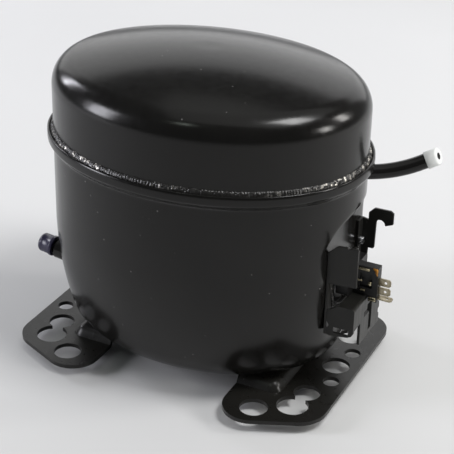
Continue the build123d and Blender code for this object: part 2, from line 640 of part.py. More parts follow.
def write_motor():
    """Stator, windings, rotor and bolts."""
    save("stator_core", build_stator())
    save("main_winding", build_main_winding())
    rings = end_turns(32.5, 37.0, 9.0)
    save("start_winding", rings[0], rings[1])
    core, cage = build_rotor()
    save("rotor_core", core)
    save("rotor_cage", cage)
    weight = disc(29.0, STACK_Z0 - 10, STACK_Z0 - 6, CRANK_X) - disc(20.5, 0, 60, CRANK_X)
    weight &= block(CRANK_X, CRANK_X + 40, -40, 40, 0, 60)
    save("rotor_counterweight", weight)
    bolts = []
    for x, y, _ in ring_of(4, BOLT_CIRCLE_R, 45.0):
        head = extrude(Pos(x, y, STACK_Z0 - 4) * RegularPolygon(5.0, 6), 4)
        bolts.append(head + disc(3.0, STACK_Z0 - 0.5, PLATE_Z1 - 4, x, y))
    save("stator_bolts", *bolts)
    seats = []
    for x, y in spring_places():
        seats.append(disc(7.2, SPRING_Z1, STACK_Z0 - 4, x, y) + disc(4.8, SPRING_Z1 - 4, SPRING_Z1, x, y))
    save("spring_seats", *seats)
    save("suspension_springs", *[build_spring(x, y) for x, y in spring_places()])


def write_pump():
    """Crankcase, valve gear, mufflers, crank train."""
    crankcase = build_crankcase()
    save("crankcase", crankcase)
    washer = disc(14.0, HUB_Z1, WEB_Z0 - 0.05, CRANK_X) - disc(JOURNAL_R + 0.1, 100, 160, CRANK_X)
    save("thrust_washer", washer)
    save("valve_plate", build_valve_plate())
    save("head_gasket", build_gasket())
    save("cylinder_head", build_head())
    bolts = []
    for y, z in head_bolt_places():
        head = extrude(Plane((HEAD_X1, y, z), z_dir=(1, 0, 0)) * RegularPolygon(4.4, 6), 3.5)
        bolts.append(head + rod_x(2.5, CRANK_X + CYLINDER_X1 - 16, HEAD_X1, y, z))
    save("head_bolts", *bolts)
    save("suction_reed", reed(VALVE_X0 - 0.05 - REED_T, SUCTION_PORT, REED_ROOT_Z))
    save("discharge_reed", reed(VALVE_X1 + 0.05, DISCHARGE_PORT, REED_ROOT_Z))
    y, z = DISCHARGE_PORT
    stop = block(VALVE_X1, HEAD_X1 - 3, y - 3, y + 3, REED_ROOT_Z + 0.5, REED_ROOT_Z + 4.5)
    stop += block(VALVE_X1 + 4.2, HEAD_X1 - 3, y - 3, y + 3, z - 4, REED_ROOT_Z + 4.5)
    save("valve_stop", stop)
    intake = block(10.0, 50.0, BLOCK_HALF, 50.0, 122.0, 166.0)
    intake = fillet(intake.edges().filter_by(Axis.X), 5.0)
    intake += block(49.0, GASKET_X1 + 7, BLOCK_HALF, BLOCK_HALF + 6, CYLINDER_Z - 4, CYLINDER_Z + 4)
    save("suction_muffler", intake - disc(3.0, 150, 170, 30, 40))
    drum = disc(15.0, 122.0, 152.0, 32.0, -36.0) - crankcase
    save("discharge_muffler", drum)
    wall, way = DISCHARGE
    inner_end = wall - way * 7.6
    route = [(32.0, -38.0, 152.0), (32.0, -38.0, 162.0), (-20.0, -52.0, 164.0), (-64.0, -34.0, 160.0),
             (-78.0, 4.0, 150.0), (-64.0, 36.0, 136.0), (-43.0, 52.5, 121.0),
             (inner_end.X, inner_end.Y, inner_end.Z)]
    save("discharge_loop", pipe(2.0, route, 4.5))
    save("crankshaft", build_crankshaft())
    pickup = disc(5.0, 22.0, 30.0, CRANK_X) + disc(3.0, 30.0, 38.0, CRANK_X)
    save("oil_pickup", pickup - disc(1.5, 20, 40, CRANK_X))
    save("connecting_rod", build_connecting_rod())
    pin_x = CRANK_X - THROW + ROD_LENGTH
    save("wrist_pin", disc(WRIST_R, CYLINDER_Z - WRIST_HALF, CYLINDER_Z + WRIST_HALF, pin_x))
    save("piston", build_piston())


write_housing()
write_electrics()
write_motor()
write_pump()
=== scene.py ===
"""Looks for the hermetic compressor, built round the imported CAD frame.

Shapes are written in millimetres in the CAD's own frame (origin at the centre of the foot bolt
pattern, +X towards the electrical end, +Z up) and turned into metres when a mesh is made. The
housing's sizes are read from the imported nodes' boxes.
"""
import bpy
import bmesh
import json
from math import acos, atan2, cos, exp, hypot, log, pi, radians, sin, sqrt, tan
from mathutils import Matrix, Vector, noise


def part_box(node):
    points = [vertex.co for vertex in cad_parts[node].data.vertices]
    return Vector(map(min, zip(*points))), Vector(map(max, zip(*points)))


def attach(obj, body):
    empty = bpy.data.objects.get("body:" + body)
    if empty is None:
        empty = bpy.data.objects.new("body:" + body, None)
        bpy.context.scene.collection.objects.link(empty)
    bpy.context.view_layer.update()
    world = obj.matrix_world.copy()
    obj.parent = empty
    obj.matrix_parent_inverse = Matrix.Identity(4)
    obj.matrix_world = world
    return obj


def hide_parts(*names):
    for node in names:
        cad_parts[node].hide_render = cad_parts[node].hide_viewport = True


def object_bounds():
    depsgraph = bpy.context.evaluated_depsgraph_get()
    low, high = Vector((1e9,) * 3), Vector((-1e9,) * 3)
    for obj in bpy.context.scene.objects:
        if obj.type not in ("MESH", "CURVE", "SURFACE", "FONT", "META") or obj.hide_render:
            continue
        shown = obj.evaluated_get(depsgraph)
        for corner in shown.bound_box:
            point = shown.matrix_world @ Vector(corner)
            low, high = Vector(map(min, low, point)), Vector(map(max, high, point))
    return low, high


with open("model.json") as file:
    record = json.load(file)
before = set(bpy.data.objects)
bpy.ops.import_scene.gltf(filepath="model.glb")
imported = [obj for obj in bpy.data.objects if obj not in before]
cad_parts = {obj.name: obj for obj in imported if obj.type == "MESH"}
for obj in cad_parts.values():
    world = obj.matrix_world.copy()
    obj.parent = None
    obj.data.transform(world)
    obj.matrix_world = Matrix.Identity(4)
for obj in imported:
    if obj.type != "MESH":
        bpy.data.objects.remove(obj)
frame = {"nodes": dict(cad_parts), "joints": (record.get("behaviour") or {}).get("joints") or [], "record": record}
cad_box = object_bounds()
MM = 0.001


def node_box(node):
    """Lowest and highest corner of a CAD node, in millimetres."""
    low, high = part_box(node)
    return [v / MM for v in low], [v / MM for v in high]


# --- sizes read from the frame -------------------------------------------------------------------
lid_low, lid_high = node_box("upper_shell")
pan_low, pan_high = node_box("lower_shell")
WALL_A, WALL_B = lid_high[0], lid_high[1]
RIM_A = pan_high[0]
TOP_Z, LIP_Z, FLOOR_Z = lid_high[2], pan_high[2], pan_low[2]
SEAT_Z = lid_low[2]
SHEET = 3.0                       # thickness of both shells
BRACKET_SHEET = 1.6               # thickness of the terminal bracket
FLAT_X = node_box("terminal_bracket")[0][0]
BEAD_Z = node_box("seam_weld")[1][2]
TURNS = 480                       # points round the housing

# --- the housing's side outline ------------------------------------------------------------------
FLARE_Z = 127.0                   # where the pan's upright wall starts to flare
BULGE_Z, BULGE_R, BULGE_TURN = 81.7, 216.0, 15.65      # long curve inwards, its turn in degrees
KNUCKLE_R, KNUCKLE_END = 23.65, 66.5                   # corner into the bottom, its end in degrees
SHOULDER_Z, SHOULDER_R, SHOULDER_TURN = 164.9, 17.0, 72.3   # corner into the lid's dome


# =================================================================================================
# mesh helpers
# =================================================================================================
def link(name, mesh):
    """Put a mesh in the scene as a new object."""
    obj = bpy.data.objects.new(name, mesh)
    bpy.context.scene.collection.objects.link(obj)
    return obj


def mesh_piece(name, verts, faces):
    """Smooth-shaded piece from points in millimetres."""
    mesh = bpy.data.meshes.new(name)
    mesh.from_pydata([(x * MM, y * MM, z * MM) for x, y, z in verts], [], faces)
    mesh.update()
    mesh.polygons.foreach_set("use_smooth", [True] * len(mesh.polygons))
    return link(name, mesh)


def ring_faces(rows, count, closed_rows=False):
    """Quads between rows of `count` points that each close on themselves."""
    faces = []
    for i in range(rows if closed_rows else rows - 1):
        low, high = i * count, (i + 1) % rows * count
        for j in range(count):
            k = (j + 1) % count
            faces.append((low + j, low + k, high + k, high + j))
    return faces


def capped(rows, count):
    """Quads between the rows, with the first and last row filled."""
    faces = ring_faces(rows, count)
    faces.append(tuple(reversed(range(count))))
    faces.append(tuple(range((rows - 1) * count, rows * count)))
    return faces


def dress(obj, material, body="housing", replaces=()):
    """Give a piece its material, its body and the nodes it stands for."""
    obj.data.materials.clear()
    obj.data.materials.append(material)
    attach(obj, body)
    if replaces:
        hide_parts(*replaces)
    return obj


def refined(node, width, segments=2, sharp=30.0):
    """Copy of a CAD node with its flat faces merged and its edges rounded."""
    source = frame["nodes"][node]
    mesh = source.data.copy()
    mesh.name = node + "_visual"
    shape = bmesh.new()
    shape.from_mesh(mesh)
    bmesh.ops.remove_doubles(shape, verts=shape.verts, dist=2e-6)
    bmesh.ops.dissolve_limit(shape, angle_limit=radians(0.6), verts=shape.verts, edges=shape.edges)
    shape.to_mesh(mesh)
    shape.free()
    mesh.polygons.foreach_set("use_smooth", [True] * len(mesh.polygons))
    obj = link(node + "_visual", mesh)
    bevel = obj.modifiers.new("round_edges", "BEVEL")
    bevel.width = width * MM
    bevel.segments = segments
    bevel.limit_method = "ANGLE"
    bevel.angle_limit = radians(sharp)
    bevel.harden_normals = True
    bevel.use_clamp_overlap = True
    weight = obj.modifiers.new("flat_normals", "WEIGHTED_NORMAL")
    weight.keep_sharp = True
    return obj


def frame_along(direction):
    """Two unit vectors square to a direction."""
    way = Vector(direction).normalized()
    side = way.cross(Vector((0, 0, 1)))
    if side.length < 1e-4:
        side = Vector((1, 0, 0))
    side.normalize()
    return side, side.cross(way).normalized(), way


def turned(name, origin, direction, profile, count=48, squash=1.0):
    """Solid of revolution: profile is (distance along, radius) from one end to the other."""
    side, up, way = frame_along(direction)
    verts = []
    for along, radius in profile:
        for j in range(count):
            angle = 2 * pi * j / count
            offset = side * cos(angle) * radius + up * sin(angle) * radius * squash
            verts.append(Vector(origin) + way * along + offset)
    return mesh_piece(name, verts, capped(len(profile), count))


def swept(name, path, radius_at, count=32):
    """Round tube skin along a list of points; radius_at(i) gives each ring's radius."""
    verts = []
    normal = None
    for i, point in enumerate(path):
        ahead = path[min(i + 1, len(path) - 1)] - path[max(i - 1, 0)]
        ahead.normalize()
        if normal is None:
            normal, _, _ = frame_along(ahead)
        normal = (normal - ahead * normal.dot(ahead)).normalized()
        across = ahead.cross(normal)
        for j in range(count):
            angle = 2 * pi * j / count
            verts.append(point + (normal * cos(angle) + across * sin(angle)) * radius_at(i))
    return mesh_piece(name, verts, capped(len(path), count))


# =================================================================================================
# materials
# =================================================================================================
def node_material(name):
    """Empty Principled material; returns the material, its nodes, its links and the shader."""
    material = bpy.data.materials.new(name)
    material.use_nodes = True
    tree = material.node_tree
    return material, tree.nodes, tree.links, tree.nodes["Principled BSDF"]


def noise_value(nodes, links, scale, detail=3.0, stretch=(1, 1, 1)):
    """Noise factor in the piece's own coordinates; scale is in cells per metre."""
    place = nodes.new("ShaderNodeTexCoord")
    mapping = nodes.new("ShaderNodeMapping")
    mapping.inputs["Scale"].default_value = stretch
    links.new(place.outputs["Object"], mapping.inputs["Vector"])
    texture = nodes.new("ShaderNodeTexNoise")
    texture.inputs["Scale"].default_value = scale
    texture.inputs["Detail"].default_value = detail
    links.new(mapping.outputs["Vector"], texture.inputs["Vector"])
    return texture.outputs["Fac"]


def ramp(nodes, links, value, stops):
    """Colour ramp over a value; stops are (position, grey or colour)."""
    node = nodes.new("ShaderNodeValToRGB")
    elements = node.color_ramp.elements
    while len(elements) < len(stops):
        elements.new(0.5)
    for element, (position, tone) in zip(elements, stops):
        element.position = position
        colour = (tone, tone, tone) if isinstance(tone, (int, float)) else tone
        element.color = (*colour, 1.0)
    links.new(value, node.inputs["Fac"])
    return node.outputs["Color"]


def blended(nodes, links, factor, low, high, mode="MIX"):
    """Mix of two colours or sockets by a factor."""
    node = nodes.new("ShaderNodeMix")
    node.data_type = "RGBA"
    node.blend_type = mode
    sockets = {s.identifier: s for s in node.inputs}
    for key, value in (("A_Color", low), ("B_Color", high)):
        if isinstance(value, tuple):
            sockets[key].default_value = (*value, 1.0)
        else:
            links.new(value, sockets[key])
    if isinstance(factor, float):
        sockets["Factor_Float"].default_value = factor
    else:
        links.new(factor, sockets["Factor_Float"])
    return {s.identifier: s for s in node.outputs}["Result_Color"]


def bumped(nodes, links, shader, layers):
    """Chain of bumps; layers are (height socket, strength, distance in mm)."""
    normal = None
    for height, strength, distance in layers:
        bump = nodes.new("ShaderNodeBump")
        bump.inputs["Strength"].default_value = strength
        bump.inputs["Distance"].default_value = distance * MM
        links.new(height, bump.inputs["Height"])
        if normal:
            links.new(normal, bump.inputs["Normal"])
        normal = bump.outputs["Normal"]
    links.new(normal, shader.inputs["Normal"])


def specks(nodes, links, scale, size):
    """Mask of small round specks: 1 inside a speck."""
    place = nodes.new("ShaderNodeTexCoord")
    cells = nodes.new("ShaderNodeTexVoronoi")
    cells.inputs["Scale"].default_value = scale
    links.new(place.outputs["Object"], cells.inputs["Vector"])
    return ramp(nodes, links, cells.outputs["Distance"], [(0.0, 1.0), (size, 1.0), (size * 1.5, 0.0)])


def paint(name, tone, rough, dust=0.5, wave=0.25):
    """Black sprayed enamel: slightly uneven, with dust nibs and faint scuffs."""
    material, nodes, links, shader = node_material(name)
    dark = tuple(v * 0.82 for v in tone)
    light = tuple(v * 1.22 for v in tone)
    cloud = ramp(nodes, links, noise_value(nodes, links, 22.0, 4.0), [(0.35, 0.0), (0.68, 1.0)])
    colour = blended(nodes, links, cloud, dark, light)
    nib = specks(nodes, links, 155.0, 0.055)
    scatter = ramp(nodes, links, noise_value(nodes, links, 70.0, 2.0), [(0.52, 0.0), (0.60, dust)])
    mask = blended(nodes, links, 1.0, nib, scatter, "MULTIPLY")
    colour = blended(nodes, links, mask, colour, (0.16, 0.155, 0.15))
    links.new(colour, shader.inputs["Base Color"])
    scuff = noise_value(nodes, links, 260.0, 5.0, (1.0, 1.0, 0.16))
    links.new(ramp(nodes, links, scuff, [(0.30, rough * 0.86), (0.72, rough * 1.18)]),
              shader.inputs["Roughness"])
    peel = noise_value(nodes, links, 420.0, 2.0)
    swell = noise_value(nodes, links, 48.0, 2.0)
    bumped(nodes, links, shader, [(swell, wave, 0.10), (peel, 0.10, 0.05), (mask, 0.35, 0.06)])
    shader.inputs["Specular IOR Level"].default_value = 0.31
    return material


def metal(name, tone, rough, tarnish=None, grain=600.0, stretch=(1, 1, 1), pits=0.2):
    """Bare metal with a fine grain and patches of tarnish."""
    material, nodes, links, shader = node_material(name)
    stain = ramp(nodes, links, noise_value(nodes, links, 180.0, 5.0), [(0.38, 0.0), (0.66, 1.0)])
    links.new(blended(nodes, links, stain, tone, tarnish or tuple(v * 0.7 for v in tone)),
              shader.inputs["Base Color"])
    lines = noise_value(nodes, links, grain, 4.0, stretch)
    links.new(ramp(nodes, links, lines, [(0.3, rough * 0.75), (0.7, rough * 1.3)]),
              shader.inputs["Roughness"])
    bumped(nodes, links, shader, [(lines, pits, 0.08)])
    shader.inputs["Metallic"].default_value = 1.0
    return material


def plastic(name, tone, rough, grain=900.0, depth=0.15, clear=0.0, mottle=0.12):
    """Moulded plastic with slight mottling."""
    material, nodes, links, shader = node_material(name)
    low = tuple(v * (1 - mottle) for v in tone)
    high = tuple(min(v * (1 + mottle), 1.0) for v in tone)
    cloud = ramp(nodes, links, noise_value(nodes, links, 120.0, 4.0), [(0.35, 0.0), (0.65, 1.0)])
    links.new(blended(nodes, links, cloud, low, high), shader.inputs["Base Color"])
    skin = noise_value(nodes, links, grain, 3.0)
    links.new(ramp(nodes, links, skin, [(0.3, rough * 0.85), (0.7, rough * 1.15)]),
              shader.inputs["Roughness"])
    bumped(nodes, links, shader, [(skin, depth, 0.05)])
    if clear:
        shader.inputs["Subsurface Weight"].default_value = clear
        shader.inputs["Subsurface Radius"].default_value = (0.004, 0.004, 0.004)
    return material


def weld_paint(name):
    """Painted-over weld: dark, with bare glinting high spots and oxide."""
    material, nodes, links, shader = node_material(name)
    glint = ramp(nodes, links, noise_value(nodes, links, 420.0, 6.0), [(0.53, 0.0), (0.59, 1.0)])
    stretch = ramp(nodes, links, noise_value(nodes, links, 26.0, 2.0), [(0.42, 0.0), (0.62, 1.0)])
    patch = blended(nodes, links, 1.0, glint, stretch, "MULTIPLY")
    links.new(blended(nodes, links, patch, (0.012, 0.011, 0.010), (0.60, 0.57, 0.52)),
              shader.inputs["Base Color"])
    links.new(patch, shader.inputs["Metallic"])
    crust = noise_value(nodes, links, 700.0, 6.0)
    links.new(ramp(nodes, links, crust, [(0.3, 0.16), (0.7, 0.42)]), shader.inputs["Roughness"])
    bumped(nodes, links, shader, [(noise_value(nodes, links, 420.0, 5.0), 0.8, 0.5), (crust, 0.5, 0.25)])
    return material


housing_paint = paint("housing_paint", (0.0062, 0.0058, 0.0052), 0.20, dust=0.8)
plate_paint = paint("plate_paint", (0.0110, 0.0105, 0.0092), 0.30, dust=0.35, wave=0.12)
sheet_paint = paint("sheet_paint", (0.0150, 0.0145, 0.0130), 0.38, dust=0.25, wave=0.08)
tube_paint = paint("tube_paint", (0.0070, 0.0065, 0.0060), 0.20, dust=0.2, wave=0.10)
weld_look = weld_paint("weld_look")
tin = metal("tin", (0.46, 0.41, 0.30), 0.34, (0.20, 0.17, 0.11), 900.0)
brass = metal("brass", (0.62, 0.56, 0.40), 0.30, (0.34, 0.29, 0.18), 900.0)
steel = metal("steel", (0.56, 0.57, 0.58), 0.34, (0.30, 0.30, 0.31))
bright_steel = metal("bright_steel", (0.70, 0.70, 0.71), 0.20, (0.45, 0.45, 0.46))
cast_iron = metal("cast_iron", (0.22, 0.22, 0.225), 0.62, (0.12, 0.12, 0.12), 380.0, pits=0.7)
aluminium = metal("aluminium", (0.78, 0.79, 0.80), 0.36, (0.55, 0.56, 0.57))
lamination = metal("lamination", (0.30, 0.31, 0.33), 0.45, (0.18, 0.18, 0.19), 1400.0, (0.05, 0.05, 1.0), 0.6)
winding = metal("winding", (0.60, 0.24, 0.10), 0.32, (0.34, 0.12, 0.05), 1100.0, (0.15, 0.15, 1.0), 0.9)
cap_white = plastic("cap_white", (0.78, 0.79, 0.78), 0.34, clear=0.35, mottle=0.05)
plug_violet = plastic("plug_violet", (0.014, 0.011, 0.040), 0.30, grain=900.0, depth=0.02)
device_black = plastic("device_black", (0.0048, 0.0044, 0.0042), 0.46)
amber = plastic("amber", (0.55, 0.24, 0.04), 0.30, clear=0.2)
sleeve = plastic("sleeve", (0.62, 0.60, 0.52), 0.75, depth=0.6)
fibre = plastic("fibre", (0.16, 0.15, 0.12), 0.80, depth=0.5)
muffler_look = plastic("muffler_look", (0.70, 0.66, 0.54), 0.50)


def glass_look():
    """Fused glass bead, green-blue and slightly bubbly."""
    material, nodes, links, shader = node_material("glass_bead")
    tint = ramp(nodes, links, noise_value(nodes, links, 500.0, 3.0),
                [(0.3, (0.10, 0.26, 0.22)), (0.7, (0.20, 0.40, 0.34))])
    links.new(tint, shader.inputs["Base Color"])
    bumped(nodes, links, shader, [(noise_value(nodes, links, 800.0, 2.0), 0.2, 0.05)])
    shader.inputs["Roughness"].default_value = 0.06
    shader.inputs["Coat Weight"].default_value = 0.5
    return material


glass_bead = glass_look()


# =================================================================================================
# camera, floor and lights
# =================================================================================================
def aim_camera():
    """Long-lens camera from the front right, above; its shift only places the object in the frame."""
    azimuth, elevation, roll = radians(26.51), radians(26.37), radians(0.90)
    distance = 0.845
    back = Vector((sin(azimuth) * cos(elevation), -cos(azimuth) * cos(elevation), sin(elevation)))
    right = Vector((cos(azimuth), sin(azimuth), 0))
    up = back.cross(right)
    right, up = right * cos(roll) + up * sin(roll), up * cos(roll) - right * sin(roll)
    data = bpy.data.cameras.new("camera")
    data.sensor_width = 36.0
    data.lens = 111.0
    data.shift_x = 0.0425
    data.shift_y = -0.0794
    data.clip_end = 20.0
    camera = bpy.data.objects.new("camera", data)
    place = Matrix((right, up, back)).transposed().to_4x4()
    place.translation = Vector((0, 0, 0.1)) + back * distance
    camera.matrix_world = place
    bpy.context.scene.collection.objects.link(camera)
    bpy.context.scene.camera = camera


def softbox(name, azimuth, elevation, distance, width, height, power, tint=(1, 1, 1)):
    """Rectangular studio light seen from the housing in a given direction."""
    data = bpy.data.lights.new(name, "AREA")
    data.shape = "RECTANGLE"
    data.size = width
    data.size_y = height
    data.energy = power
    data.color = tint
    lamp = bpy.data.objects.new(name, data)
    a, e = radians(azimuth), radians(elevation)
    way = Vector((cos(a) * cos(e), sin(a) * cos(e), sin(e)))
    lamp.location = Vector((0, 0, 0.15)) + way * distance
    lamp.rotation_euler = way.to_track_quat("Z", "Y").to_euler()
    bpy.context.scene.collection.objects.link(lamp)
    return lamp


def studio():
    """Pale sweep floor with painted shade towards the front, key and side softboxes, a wide rear box, a top box
    and a dim room.
    """
    floor_z = cad_box[0][2]
    width, front, bend, back, rise = 3.2, -2.6, 1.9, 0.7, 2.2
    profile = [(front, 0.0), (bend, 0.0)]
    for i in range(1, 13):
        angle = radians(90 * i / 12)
        profile.append((bend + back * sin(angle), back * (1 - cos(angle))))
    profile.append((bend + back, rise))
    verts = []
    for x in (-width, width):
        verts += [(x / MM, y / MM, (z + floor_z) / MM) for y, z in profile]
    n = len(profile)
    faces = [(i, n + i, n + i + 1, i + 1) for i in range(n - 1)]
    floor = mesh_piece("floor", verts, faces)
    material, nodes, links, shader = node_material("floor_paper")
    cloud = ramp(nodes, links, noise_value(nodes, links, 3.0, 3.0), [(0.3, 0.97), (0.7, 1.0)])
    # Painted shade: the floor paper's colour runs from 0.60 at the front to 0.78 further back, standing in for the
    # light falling off towards the camera.
    place = nodes.new("ShaderNodeTexCoord")
    split = nodes.new("ShaderNodeSeparateXYZ")
    links.new(place.outputs["Object"], split.inputs["Vector"])
    depth = nodes.new("ShaderNodeMapRange")
    depth.inputs["From Min"].default_value = -0.30
    depth.inputs["From Max"].default_value = 0.60
    links.new(split.outputs["Y"], depth.inputs["Value"])
    painted_front_shade = ramp(nodes, links, depth.outputs["Result"],
                [(0.0, (0.60, 0.60, 0.595)), (1.0, (0.78, 0.78, 0.785))])
    links.new(blended(nodes, links, 1.0, painted_front_shade, cloud, "MULTIPLY"), shader.inputs["Base Color"])
    shader.inputs["Roughness"].default_value = 0.75
    floor.data.materials.append(material)
    world = bpy.data.worlds.new("room")
    world.use_nodes = True
    world.node_tree.nodes["Background"].inputs["Color"].default_value = (0.90, 0.95, 1.0, 1)
    world.node_tree.nodes["Background"].inputs["Strength"].default_value = 0.10
    bpy.context.scene.world = world
    softbox("key", -3, 60, 1.5, 0.46, 0.50, 13)
    softbox("left_box", -147, 13, 1.4, 0.36, 0.62, 11, (0.93, 0.93, 1.0))
    softbox("left_strip", 171, 20, 1.4, 0.14, 0.50, 4.2, (0.93, 0.93, 1.0))
    softbox("right_strip", 1, 14, 1.4, 0.20, 0.30, 4.2, (1.0, 0.98, 0.95))
    softbox("right_box", 27, 24, 1.4, 0.22, 0.44, 4.8, (1.0, 0.98, 0.95))
    softbox("front_small", -103, 46, 1.4, 0.14, 0.16, 0.4, (0.9, 1.0, 0.9))
    softbox("rear_wall", 112, 22, 1.9, 3.4, 1.3, 16)
    softbox("fill_top", 10, 82, 1.8, 2.2, 2.2, 8, (1, 1, 0.98))
    scene = bpy.context.scene
    scene.view_settings.view_transform = "Standard"
    scene.view_settings.look = "None"


aim_camera()
studio()


# =================================================================================================
# housing
# =================================================================================================
def pressed(x, y, z, skin):
    """x of a wall point after the terminal flat is pressed in, with rounded creases."""
    if x < 60:
        return x
    corner, half_y, mid_z, half_z = 22.0, 36.0, 62.0, 43.5
    top_tilt = 0.10 * y
    dy = abs(y) - (half_y - corner)
    dz = abs(z - top_tilt - mid_z) - (half_z - corner)
    outside = hypot(max(dy, 0), max(dz, 0)) + min(max(dy, dz), 0) - corner
    limit = FLAT_X - skin + max(outside, 0) * 1.15
    soft = 0.9
    low = min(x, limit)
    return low - soft * log(1 + exp(-abs(x - limit) / soft)) + soft * 0.02


def lower_profile(skin):
    """(inset, z, share) from the wall's top down to the bottom's middle."""
    rows = []
    for i in range(31):
        rows.append((skin, FLARE_Z - (FLARE_Z - BULGE_Z) * i / 30, 1.0))
    turn = radians(BULGE_TURN)
    for i in range(1, 31):
        a = turn * i / 30
        rows.append((BULGE_R * (1 - cos(a)) + skin * cos(a), BULGE_Z - BULGE_R * sin(a) + skin * sin(a), 1.0))
    start, z0 = BULGE_R * (1 - cos(turn)), BULGE_Z - BULGE_R * sin(turn)
    for i in range(1, 15):
        a = turn + (radians(KNUCKLE_END) - turn) * i / 14
        rows.append((start + KNUCKLE_R * (cos(turn) - cos(a)) + skin * cos(a),
                     z0 - KNUCKLE_R * (sin(a) - sin(turn)) + skin * sin(a), 1.0))
    inset, edge_z, _ = rows[-1]
    low = FLOOR_Z + skin
    for i in range(1, 21):
        share = 1 - 0.98 * i / 20
        rows.append((inset, low + (edge_z - low) * max(share ** 2 - 0.03, 0) / 0.97, share))
    return rows


def housing_ring(inset, z, share, skin, flat):
    """One ring of points on the housing."""
    ring = []
    for j in range(TURNS):
        t = 2 * pi * j / TURNS
        x = (WALL_A - inset) * share * cos(t)
        y = (WALL_B - inset) * share * sin(t)
        ring.append((pressed(x, y, z, skin) if flat else x, y, z))
    return ring


def build_lower_shell():
    """Drawn pan with its rounded knuckle, pressed flat, flare and channel lip."""
    rows = [r + (0.0, True) for r in reversed(lower_profile(0.0))]
    flare = RIM_A - WALL_A
    for i in range(1, 13):
        s = i / 12
        rise = 3 * s ** 2 - 2 * s ** 3
        rows.append((-flare * rise, FLARE_Z + 5.6 * s, 1.0, 0.0, False))
    rows.append((-flare, LIP_Z - 2.4, 1.0, 0.0, False))
    for i in range(1, 7):
        a = radians(180 * i / 6)
        rows.append((-flare + 0.8 * (1 - cos(a)), LIP_Z - 0.8 + 0.8 * sin(a), 1.0, 0.0, False))
    rows.append((-flare + 1.6, LIP_Z - 3.0, 1.0, 0.0, False))
    rows.append((-0.2, LIP_Z - 3.6, 1.0, 0.0, False))
    rows.append((-0.2, SEAT_Z, 1.0, 0.0, False))
    rows.append((SHEET, SEAT_Z, 1.0, SHEET, False))
    rows += [r + (SHEET, True) for r in lower_profile(SHEET)]
    verts = []
    for inset, z, share, skin, flat in rows:
        verts += housing_ring(inset, z, share, skin, flat)
    return mesh_piece("lower_shell_visual", verts, capped(len(rows), TURNS))


def upper_profile(skin):
    """(inset, z, share) from the lid's rim up to its middle."""
    rows = []
    for i in range(16):
        rows.append((skin, SEAT_Z + (SHOULDER_Z - SEAT_Z) * i / 15, 1.0))
    end = radians(SHOULDER_TURN)
    for i in range(1, 31):
        a = end * i / 30
        radius = SHOULDER_R - skin
        rows.append((SHOULDER_R - radius * cos(a), SHOULDER_Z + radius * sin(a), 1.0))
    inset, edge_z, _ = rows[-1]
    high = TOP_Z - skin
    for i in range(1, 31):
        share = 1 - 0.985 * i / 30
        rows.append((inset, high - (high - edge_z) * max(share ** 2 - 0.01, 0) / 0.99, share))
    return rows


def build_upper_shell():
    """Domed lid, closed by its inner skin."""
    rows = list(reversed(upper_profile(SHEET))) + upper_profile(0.0)
    verts = []
    for inset, z, share in rows:
        verts += housing_ring(inset, z, share, 0.0, False)
    return mesh_piece("upper_shell_visual", verts, capped(len(rows), TURNS))


def build_seam_weld():
    """Lumpy bead between the lip and the lid, with ripples and spatter."""
    turns, arc = 1600, 12
    verts = []
    for j in range(turns):
        t = 2 * pi * j / turns
        rough = noise.noise(Vector((cos(t) * 24, sin(t) * 24, 3.0)))
        fine = noise.noise(Vector((cos(t) * 90, sin(t) * 90, 8.0)))
        ripple = 0.12 * sin(t * 330 + 2.0 * rough)
        for k in range(arc):
            s = k / (arc - 1)
            angle = pi * s
            grit = noise.noise(Vector((cos(t) * 160, sin(t) * 160, s * 5.0)))
            swell = (1.25 + 0.45 * rough + 0.25 * fine + ripple) * sin(angle)
            out = 2.1 - 2.9 * s + 0.25 * swell + 0.20 * grit * sin(angle)
            z = LIP_Z - 2.2 + (BEAD_Z - LIP_Z + 1.0) * s + swell + 0.35 * grit * sin(angle)
            z = min(z, BEAD_Z + 0.8)
            verts.append(((WALL_A + out) * cos(t), (WALL_B + out) * sin(t), z))
    faces = []
    for j in range(turns):
        here, there = j * arc, (j + 1) % turns * arc
        for k in range(arc):
            m = (k + 1) % arc
            faces.append((here + k, there + k, there + m, here + m))
    return mesh_piece("seam_weld_visual", verts, faces)


def rounded_path(corners):
    """Closed polygon with rounded corners; corners are (x, y, radius)."""
    path = []
    count = len(corners)
    for i, (x, y, radius) in enumerate(corners):
        here = Vector((x, y))
        before = (Vector(corners[i - 1][:2]) - here).normalized()
        after = (Vector(corners[(i + 1) % count][:2]) - here).normalized()
        if not radius:
            path.append(here)
            continue
        half = before.angle(after) / 2
        centre = here + (before + after).normalized() * radius / sin(half)
        first = here + before * radius / tan(half) - centre
        sweep = first.angle_signed(here + after * radius / tan(half) - centre)
        for k in range(15):
            turn = Matrix.Rotation(-sweep * k / 14, 2)
            path.append(centre + turn @ first)
    return path


def plate_holes():
    """(x, y, radius) of the +X plate's holes, from the record's foot mounts."""
    holes = []
    for mount in frame["record"]["mounts"]:
        dims = mount["dims"]
        if mount["kind"] != "bolt_pattern":
            continue
        x = dims["spacing_x_mm"] / 2
        y = dims.get("spacing_y_mm", 0) / 2
        for side in (-1, 1) if y else (0,):
            holes.append((x, side * y, dims["hole_r_mm"]))
    return holes


def keyhole(big, small):
    """Outline of two round holes run together."""
    (x0, y0, r0), (x1, y1, r1) = big, small
    gap = Vector((x1 - x0, y1 - y0))
    d = gap.length
    lean = atan2(gap.y, gap.x)
    path = []
    for (x, y, r, other, turn) in ((x0, y0, r0, r1, lean), (x1, y1, r1, r0, lean + pi)):
        open_angle = acos((d * d + r * r - other * other) / (2 * d * r))
        for k in range(33):
            a = turn + open_angle + (2 * pi - 2 * open_angle) * k / 32
            path.append(Vector((x + r * cos(a), y + r * sin(a))))
    return path


